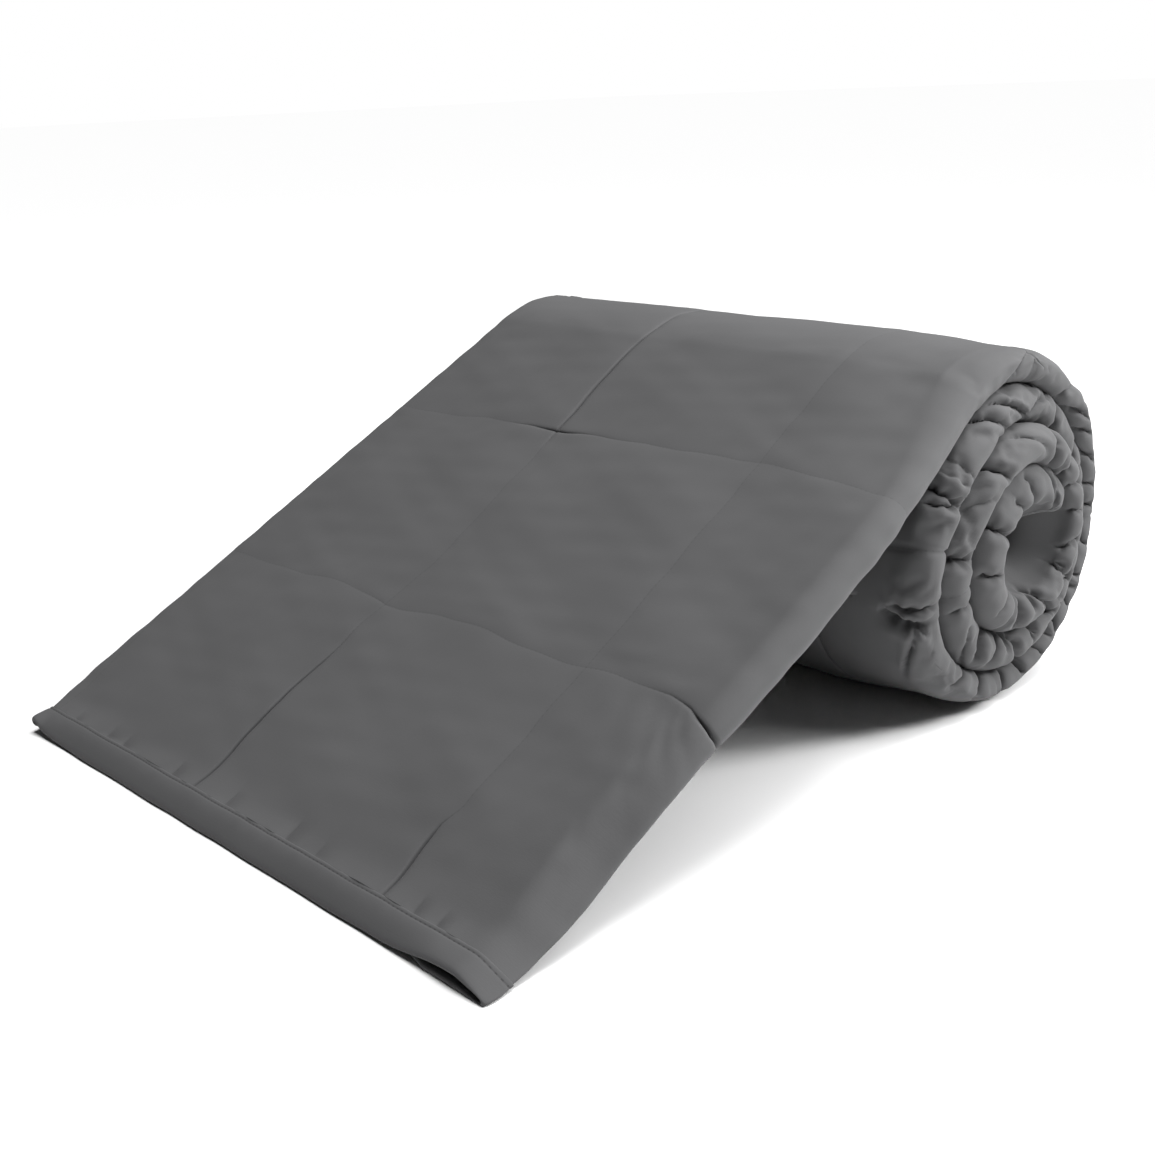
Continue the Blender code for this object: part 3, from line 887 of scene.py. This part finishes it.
def rows_of_quilt():
    """Rows of (length, rank): close together on the slope, and closer still where the roll is wound."""
    rows = {}
    seams = CROSS_SEAMS[:2]
    for number, length in enumerate(np.arange(FIRST_ROW, LAST_SLOPE_ROW, SLOPE_ROW_STEP)):
        if min(abs(length - seam) for seam in seams) > SEAM_MARGIN and length > FIRST_ROW + HEM_MARGIN:
            rows[float(length)] = 0 if number % 4 == 0 else 2
    rows.update({FIRST_ROW + away: rank for away, rank in HEM_LINES})
    for seam in seams:
        rows.update({seam + away: rank for away, rank in SEAM_LINES})
    for number, length in enumerate(wound_rows()):
        rows[length] = 0 if number % COARSE == 0 else 1 if number % 2 == 0 else 2
    return sorted(rows.items())


def wound_rows():
    """Lengths of the rows on the roll, closer together along each crease."""
    creases = [middle(crease) for crease in RIGHT_CREASES]
    fine = np.linspace(FIRST_WOUND_ROW, CLOTH_LENGTH, FINE_STEPS)
    closeness = np.max([bell(fine - crease, CREASE_NEAR) for crease in creases], axis=0)
    total = np.cumsum(1 / (OPEN_SPACING + (CREASE_SPACING - OPEN_SPACING) * closeness))
    total = (total - total[0]) / (total[-1] - total[0])
    count = COARSE * round((CLOTH_LENGTH - FIRST_WOUND_ROW) / (COARSE * WOUND_STEP))
    rows = np.interp(np.arange(count + 1) / count, total, fine)
    for crease in creases:
        rows[1 + np.argmin(np.abs(rows[1:-1] - crease))] = crease
    return sorted(rows.tolist())


RING = columns_of_ring()
QUILT_ROWS = rows_of_quilt()
LAST_OUTER_ROW = 1.08
# The highest ranks of columns and rows that are drawn, for five groups of columns round the quilt, on the
# slope, on the outer turn and further in
DRAWN_RANKS = (
    ((0, 0), (2, 2), (2, 2), (2, 2), (0, 0)),
    ((0, 0), (2, 1), (1, 1), (2, 2), (0, 0)),
    ((0, 0), (2, 1), (0, 0), (2, 2), (0, 0)),
)
# The stretches that the second to fifth groups start with
GROUP_STRETCHES = (1, 4, 9, 12)


def ring_index(stretch):
    return next(i for i, column in enumerate(RING) if column[0] == stretch and column[2] > 0)


def row_index(length):
    """The nearest row of rank 0."""
    coarse = [i for i, row in enumerate(QUILT_ROWS) if row[1] == 0]
    return min(coarse, key=lambda i: abs(QUILT_ROWS[i][0] - length))


def quilt_tiles():
    """(first column, next column, first row, next row) of every face, fine only where the cloth is seen."""
    groups = [0] + [ring_index(stretch) for stretch in GROUP_STRETCHES] + [len(RING)]
    zones = [0, row_index(FIRST_WOUND_ROW), row_index(LAST_OUTER_ROW), len(QUILT_ROWS) - 1]
    tiles = []
    for low, high, ranks in zip(zones, zones[1:], DRAWN_RANKS):
        for left, right, (column_rank, row_rank) in zip(groups, groups[1:], ranks):
            picked = [i for i in range(left, right) if RING[i][3] <= column_rank or i == left]
            if right == len(RING) or RING[right][3] <= column_rank:
                picked.append(right)
            lines = [j for j in range(low, high + 1) if QUILT_ROWS[j][1] <= row_rank]
            tiles += [(a, b, c, d) for a, b in zip(picked, picked[1:]) for c, d in zip(lines, lines[1:])]
    return tiles


def joined(tiles, used):
    """Corners of every face, which also takes the corners of finer neighbours on its sides."""
    columns = len(RING)
    number = (np.cumsum(used.ravel()).reshape(used.shape) - 1).tolist()
    taken = used.tolist()
    faces = []
    for a, b, c, d in tiles:
        walk = [(c, i) for i in range(a, b)] + [(j, b) for j in range(c, d)]
        walk += [(d, i) for i in range(b, a, -1)] + [(j, a) for j in range(d, c, -1)]
        faces.append([number[j][i % columns] for j, i in walk if taken[j][i % columns]])
    front, end = ([n for n, there in zip(number[row], taken[row]) if there] for row in (0, -1))
    return faces + [front[::-1], end]


# How far along the cloth the hem's tucks draw the columns in, and how its creases draw the rows: over what
# distance, at the most, and where on the outside of the right fold
TUCKS_END = 0.024
TUCKS_FADE = 0.03
LEAN_SPREAD = 0.02
LEAN_REACH = 0.0075
LARGEST_LEAN = 0.0045
LEAN_END = CLOTH_LENGTH - 0.008
LEAN_WINDOW = 0.05


def drawn_to_tucks(across, length, column, first_row):
    """Shifts the three columns nearest each tuck so that they run along it, near the hem only."""
    near_hem = 1 - smooth((length - TUCKS_END) / TUCKS_FADE)
    for at, _, _ in HEM_TUCKS:
        nearest = np.argsort(np.abs(first_row - THIRD_SEAM - at))[:3]
        nearest = sorted(nearest, key=lambda one: first_row[one])
        for which, offset in zip(nearest, (-TUCK_WIDTH, 0.0, TUCK_WIDTH)):
            shift = THIRD_SEAM + at + offset - first_row[which]
            across = across + np.where(column == which, shift * near_hem, 0.0)
    return across


def crease_lean(place, length):
    """How far a row of points shifts along the cloth at each place, so that it runs along a crease."""
    shift = np.zeros_like(place)
    for crease in RIGHT_CREASES:
        near = np.abs(length - middle(crease)) < LEAN_SPREAD
        share = (place[near] - crease.start) / (crease.end - crease.start)
        share = np.clip(share, -CREASE_OVERRUN, 1 + CREASE_OVERRUN)
        lean = np.clip((crease.last - crease.first) * (share - 0.5), -LARGEST_LEAN, LARGEST_LEAN)
        shift[near] += lean * bell(length[near] - middle(crease), LEAN_REACH)
    outer = (length > SLEEVE_START) & (length < LEAN_END) & (np.abs(place) < LEAN_WINDOW)
    return np.where(outer, shift, 0)


def quilt_mesh():
    """(places, flat places, faces) of the whole quilt."""
    tiles = quilt_tiles()
    used = np.zeros((len(QUILT_ROWS), len(RING)), bool)
    for a, b, c, d in tiles:
        b = b % len(RING)
        used[c, a] = used[d, a] = used[c, b] = used[d, b] = True
    rows, columns = np.nonzero(used)
    lengths = np.array([length for length, _ in QUILT_ROWS])
    length = lengths[rows]
    stretch, share, side, _ = (np.array(values)[columns] for values in zip(*RING))
    anchors = column_anchors(lengths)
    across = anchors[stretch, rows] * (1 - share) + anchors[stretch + 1, rows] * share
    outer_row = (rows == 0) & (side > 0)
    first_row = np.full(len(RING), np.inf)
    first_row[columns[outer_row]] = across[outer_row]
    across = drawn_to_tucks(across, length, columns, first_row)
    length = length + np.where(side > 0, crease_lean(fold_place(across, length, 1), length), 0)
    places = quilt_places(across, side, length)
    places += sleeve_offsets(across, length) * (side > 0)[:, None]
    return places, np.stack([across, length], axis=-1), joined(tiles, used)


def new_piece(name, places, flat, faces):
    """A smooth mesh with a UV map in metres of flat cloth, so that its weave follows it round the folds."""
    mesh = bpy.data.meshes.new(name)
    mesh.from_pydata(places.tolist(), [], faces)
    mesh.update()
    piece = bpy.data.objects.new(name, mesh)
    bpy.context.scene.collection.objects.link(piece)
    mesh.polygons.foreach_set("use_smooth", [True] * len(mesh.polygons))
    layer = mesh.uv_layers.new(name="flat_cloth")
    corners = np.empty(len(mesh.loops), np.int32)
    mesh.loops.foreach_get("vertex_index", corners)
    layer.data.foreach_set("uv", flat[corners].ravel())
    return piece


bpy.ops.object.select_all(action="DESELECT")
quilt = new_piece("rolled_quilt", *quilt_mesh())

# ---------------------------------------------------------------- quilted cloth: its cloth and thread
# Brushed microfibre with a soft, uneven nap, quilted with a darker thread. The stitches are needle holes,
# painted dark as shade in the hole, with thread between them, drawn along the sewn lines of the flat cloth.


def linear(code):
    """An sRGB hex colour as linear RGBA."""
    levels = [int(code[i:i + 2], 16) / 255 for i in (0, 2, 4)]
    return [c / 12.92 if c <= 0.04045 else ((c + 0.055) / 1.055) ** 2.4 for c in levels] + [1.0]


def add(tree, kind, settings=None, links=None):
    """Adds a node. Settings and links go to its inputs, by name or number, or to its own properties."""
    node = tree.nodes.new(kind)
    for name, value in (settings or {}).items():
        if isinstance(name, int) or name in node.inputs:
            node.inputs[name].default_value = value
        else:
            setattr(node, name, value)
    for name, (source, output) in (links or {}).items():
        tree.links.new(source.outputs[output], node.inputs[name])
    return node


STITCH_PITCH = 0.0034
STITCH_LENGTH = 0.0022
THREAD = 0.0008
# Near black that stitches are mixed towards: the darker thread, and the needle holes as painted shade
THREAD_AND_PAINTED_HOLE_SHADE = "101010"


def sewn_lines(tree, flat, axis, first, apart, hole, thread):
    """How dark a set of sewn lines is: its needle holes as painted shade, its darker thread between them,
    and 0 beside it.
    """
    other = "Y" if axis == "X" else "X"
    offset = add(tree, "ShaderNodeMath", {"operation": "SUBTRACT", 1: first}, {0: (flat, axis)})
    away = add(tree, "ShaderNodeMath", {"operation": "PINGPONG", 1: apart / 2}, {0: (offset, 0)})
    on_line = add(tree, "ShaderNodeMath", {"operation": "LESS_THAN", 1: THREAD / 2}, {0: (away, 0)})
    step = add(tree, "ShaderNodeMath", {"operation": "PINGPONG", 1: STITCH_PITCH / 2}, {0: (flat, other)})
    stitch = {"operation": "LESS_THAN", 1: STITCH_LENGTH / 2}
    on_thread = add(tree, "ShaderNodeMath", stitch, {0: (step, 0)})
    # Between stitches the needle hole is painted dark as shade; on a stitch, the thread's own darker colour
    shades = {"operation": "MULTIPLY_ADD", 1: thread - hole, 2: hole}
    dark = add(tree, "ShaderNodeMath", shades, {0: (on_thread, 0)})
    return add(tree, "ShaderNodeMath", {"operation": "MULTIPLY"}, {0: (on_line, 0), 1: (dark, 0)})


# Threads of 0.2 mm are too fine to show, so they are drawn 0.7 mm wide, in short uneven lengths
WEAVE = ((1400, 350, 1), (350, 1400, 1))


def microfibre(name, dark, light, roughness, seams):
    """Brushed microfibre: a matt dark grey cloth with a fine close weave and a soft, uneven nap.

    Each of its seams is (axis, first line, distance apart, darkness of a hole's painted shade, darkness of
    the thread)."""
    material = bpy.data.materials.new(name)
    material.use_nodes = True
    tree = material.node_tree
    shader = tree.nodes["Principled BSDF"]
    place = add(tree, "ShaderNodeTexCoord")
    nap = add(tree, "ShaderNodeTexNoise", {"Scale": 14.0, "Detail": 3.0}, {"Vector": (place, "Object")})
    shades = {"data_type": "RGBA", 6: linear(dark), 7: linear(light)}
    tint = add(tree, "ShaderNodeMix", shades, {0: (nap, "Fac")})
    laid = add(tree, "ShaderNodeUVMap", {"uv_map": "flat_cloth"})
    flat = add(tree, "ShaderNodeSeparateXYZ", None, {0: (laid, "UV")})
    for axis, first, apart, hole, thread in seams:
        sewn = sewn_lines(tree, flat, axis, first, apart, hole, thread)
        shades = {"data_type": "RGBA", 7: linear(THREAD_AND_PAINTED_HOLE_SHADE)}
        tint = add(tree, "ShaderNodeMix", shades, {0: (sewn, 0), 6: (tint, 2)})
    tree.links.new(tint.outputs[2], shader.inputs["Base Color"])
    shader.inputs["Roughness"].default_value = roughness
    shader.inputs["Specular IOR Level"].default_value = 0.25
    shader.inputs["Sheen Weight"].default_value = 0.04
    shader.inputs["Sheen Roughness"].default_value = 0.5
    threads = []
    for stretch in WEAVE:
        turned = add(tree, "ShaderNodeMapping", {"Scale": stretch}, {"Vector": (laid, "UV")})
        uneven = {"Scale": 1.0, "Detail": 2.0}
        threads.append(add(tree, "ShaderNodeTexNoise", uneven, {"Vector": (turned, 0)}))
    both = {0: (threads[0], "Fac"), 1: (threads[1], "Fac")}
    weave = add(tree, "ShaderNodeMath", {"operation": "ADD"}, both)
    bump = add(tree, "ShaderNodeBump", {"Strength": 0.10, "Distance": 0.0004}, {"Height": (weave, 0)})
    tree.links.new(bump.outputs["Normal"], shader.inputs["Normal"])
    return material


# Quilting stitches: needle holes a little dark as painted shade, thread a little darker than the cloth
QUILTING = (("X", 0.0, COLUMN, 0.18, 0.06), ("Y", BINDING + END_ROW, ROW, 0.16, 0.05))
quilt.data.materials.append(microfibre("microfibre_cloth", "4E4E4F", "545455", 0.82, QUILTING))
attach(quilt, "root")
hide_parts("quilted_cloth")

# ---------------------------------------------------------------- edge binding
# A folded strip of the same microfibre, painted a little darker than the quilt as shade on the band,
# wrapped over the front end's raw edge and topstitched.
# It follows the cloth round both folds, and its rounded edge shows every layer of the folded end.

BINDING_INSET = -0.0015
TOPSTITCH = 0.0135
# Half the strip's thickness, at lengths from the front edge
BINDING_PROFILE = (
    (0.0, 0.0), (0.0003, 0.0009), (0.0010, 0.0014), (0.0022, 0.0017), (0.0045, 0.0019), (0.007, 0.0019),
    (0.0095, 0.0018), (0.0118, 0.0016), (0.0130, 0.0014), (TOPSTITCH, 0.0010), (0.0140, 0.0013),
    (0.0150, 0.0014), (0.0157, 0.0012), (0.0159, 0.0008),
)
# Its columns between one end, the two sides of each fold and the other end
BINDING_COLUMNS = (80, 10, 190, 16, 150)
BINDING_END_GAP = 0.001
# Its ends thin out: over what width, and the least share whose root is taken
BINDING_RIM = 0.003
BINDING_RIM_LEAST = 0.15
# Its puckers as shares of its thickness: height, wave and seed. They are drawn out along the cloth
BINDING_PUCKERS = ((0.10, 0.018, 41), (0.05, 0.007, 43))
BINDING_PUCKER_STRETCH = 0.2
BINDING_PUCKERS_START = 0.006
BINDING_PUCKERS_FADE = 0.006
WAVY_EDGE = (0.0004, 0.05, 47)
# How far the top layer's front edge droops, at distances from the third seam, and over what length
DROOP = (
    (-0.182, 0.001), (-0.165, 0.0045), (-0.145, 0.0072), (-0.11, 0.0081), (0.14, 0.0081), (0.187, 0.0073),
    (0.202, 0.0056), (0.222, 0.0020), (0.238, 0.0014), (0.256, 0.0020),
)
DROOP_EASING = (-0.006, 0.0, 0.006)
DROOP_REACH = 0.0145
DROOP_CURVE = 1.7
DROOP_SPREAD = 0.012


def drooped(across, length):
    """How much lower the top layer hangs than flat, near its front edge."""
    from_seam = across - THIRD_SEAM
    near = np.clip(1 - length / DROOP_REACH, 0, 1) ** DROOP_CURVE
    droop = eased(from_seam, DROOP, DROOP_EASING) * near
    for side in (1, -1):
        to_turn = fold_sizes(length, side).reach + TURN_MARGIN - side * from_seam
        droop = droop * smooth(to_turn / DROOP_SPREAD)
    return droop


def binding_columns(length):
    """Places across the strip, closer together round the two folds."""
    left, right = fold_sizes(length, -1, BINDING_INSET), fold_sizes(length, 1, BINDING_INSET)
    anchors = [BINDING_END_GAP + 0 * length, THIRD_SEAM - left.flap, THIRD_SEAM - left.reach,
               THIRD_SEAM + right.reach, THIRD_SEAM + right.flap,
               CLOTH_WIDTH - BINDING_END_GAP + 0 * length]
    places = []
    for first, last, count in zip(anchors, anchors[1:], BINDING_COLUMNS):
        places += [first + (last - first) * i / count for i in range(count)]
    return np.stack(places + [anchors[-1]])


def binding_mesh():
    """(places, flat places, faces) of the strip, whose profile runs over the edge and back underneath."""
    over = [(length, half, 1) for length, half in BINDING_PROFILE]
    under = [(length, half, -1) for length, half in reversed(BINDING_PROFILE[1:])]
    length, half, side = np.array(over + under).T
    across = binding_columns(length)
    length, half, side = (np.broadcast_to(values, across.shape) for values in (length, half, side))
    puckers = sum(high * ripples(across, length * BINDING_PUCKER_STRETCH, size, seed)
                  for high, size, seed in BINDING_PUCKERS)
    puckers = puckers * smooth((length - BINDING_PUCKERS_START) / BINDING_PUCKERS_FADE)
    ends = np.minimum(across, CLOTH_WIDTH - across)
    thinned = np.sqrt(np.clip(ends / BINDING_RIM, BINDING_RIM_LEAST, 1))
    height = side * half * (1 + puckers) * thinned
    far, size, seed = WAVY_EDGE
    shift = far * ripples(across, 0 * length, size, seed) + recess(across, length)
    x, lift = folded(across, height - drooped(across, length), length, inset=BINDING_INSET)
    places = rolled(x, lift, length + shift)
    at = np.arange(across.size).reshape(across.shape)
    onward = np.roll(at, -1, axis=1)
    faces = np.stack([at[:-1], onward[:-1], onward[1:], at[1:]], axis=-1).reshape(-1, 4).tolist()
    faces += [at[0, ::-1].tolist(), at[-1].tolist()]
    return places.reshape(-1, 3), np.stack([across, length], axis=-1).reshape(-1, 2), faces


binding = new_piece("front_binding", *binding_mesh())
# Topstitching: darker thread, with its needle holes and the dimples along the stitched line as painted
# shade
TOPSTITCHING = (("Y", TOPSTITCH, 1.0, 0.55, 0.25),)
# The quilt's microfibre made a little darker: painted shade where the band faces forward and down
binding.data.materials.append(microfibre("microfibre_binding", "484849", "4F4F50", 0.80, TOPSTITCHING))
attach(binding, "root")
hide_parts("edge_binding")

# ---------------------------------------------------------------- studio
# A plain white floor without an edge in sight, a broad even light from the ceiling, a soft light above the
# roll's right end, a stronger one from the right and behind, and a dim even room whose walls look white.

FLOOR_SIDE = 60
bpy.ops.object.select_all(action="DESELECT")
bpy.ops.mesh.primitive_plane_add(size=FLOOR_SIDE, location=(0, 0, 0))
floor = bpy.context.active_object
floor.name = "floor"
paint = bpy.data.materials.new("matt_white_paint")
paint.use_nodes = True
coat = paint.node_tree.nodes["Principled BSDF"]
coat.inputs["Base Color"].default_value = linear("F6F6F6")
coat.inputs["Roughness"].default_value = 0.95
coat.inputs["Specular IOR Level"].default_value = 0.1
floor.data.materials.append(paint)

ROOM_LIGHT = 0.03
room = bpy.data.worlds.new("room")
bpy.context.scene.world = room
room.use_nodes = True
dim = room.node_tree.nodes["Background"]
dim.inputs["Color"].default_value = (1, 1, 1, 1)
dim.inputs["Strength"].default_value = ROOM_LIGHT
walls = add(room.node_tree, "ShaderNodeBackground", {"Color": (1, 1, 1, 1), "Strength": 1.0})
seen = add(room.node_tree, "ShaderNodeLightPath")
by_sight = {0: (seen, "Is Camera Ray"), 1: (dim, "Background"), 2: (walls, "Background")}
mixed = add(room.node_tree, "ShaderNodeMixShader", None, by_sight)
room.node_tree.links.new(mixed.outputs["Shader"], room.node_tree.nodes["World Output"].inputs["Surface"])
bpy.context.scene.view_settings.view_transform = "Standard"


def hang(name, light, place, towards):
    """Hangs a light so that it shines in a direction."""
    lamp = bpy.data.objects.new(name, light)
    bpy.context.scene.collection.objects.link(lamp)
    lamp.location = place
    x, y, z = towards
    lamp.rotation_euler = (math.atan2(math.hypot(x, y), -z), 0, math.atan2(-x, y))


def softbox(name, place, target, size, power):
    """A square light that faces its target."""
    light = bpy.data.lights.new(name, "AREA")
    light.size = size
    light.energy = power
    hang(name, light, place, [there - here for here, there in zip(place, target)])


def broad_light(name, towards, strength, spread):
    """A large, far light that shines in that direction."""
    light = bpy.data.lights.new(name, "SUN")
    light.energy = strength
    light.angle = math.radians(spread)
    hang(name, light, (0, 0, 0), towards)


RIGHT_END = (0.2, 0.15, 0.1)
broad_light("ceiling_light", (-0.05, -0.12, -0.98), 3.4, 30)
softbox("top_light", (0.55, 0.40, 0.80), RIGHT_END, 0.6, 6.4)
softbox("side_light", (1.3, 1.35, 1.0), RIGHT_END, 0.5, 37)

CAMERA_PLACE = (0.6549, -0.6034, 0.3654)
CAMERA_AZIMUTH = math.radians(47.29)
CAMERA_ELEVATION = math.radians(17.97)
CAMERA_ROLL = math.radians(-2.45)
SENSOR = 36.0
PICTURE_SIDE = 1155
FOCAL_PIXELS = 1521

lens = bpy.data.cameras.new("camera")
lens.sensor_width = SENSOR
lens.lens = FOCAL_PIXELS * SENSOR / PICTURE_SIDE
lens.clip_start = 0.05
camera = bpy.data.objects.new("camera", lens)
bpy.context.scene.collection.objects.link(camera)
camera.location = CAMERA_PLACE
camera.rotation_mode = "XYZ"
turn = Matrix.Rotation(CAMERA_AZIMUTH, 4, "Z") @ Matrix.Rotation(math.pi / 2 - CAMERA_ELEVATION, 4, "X")
camera.rotation_euler = (turn @ Matrix.Rotation(CAMERA_ROLL, 4, "Z")).to_euler("XYZ")
bpy.context.scene.camera = camera
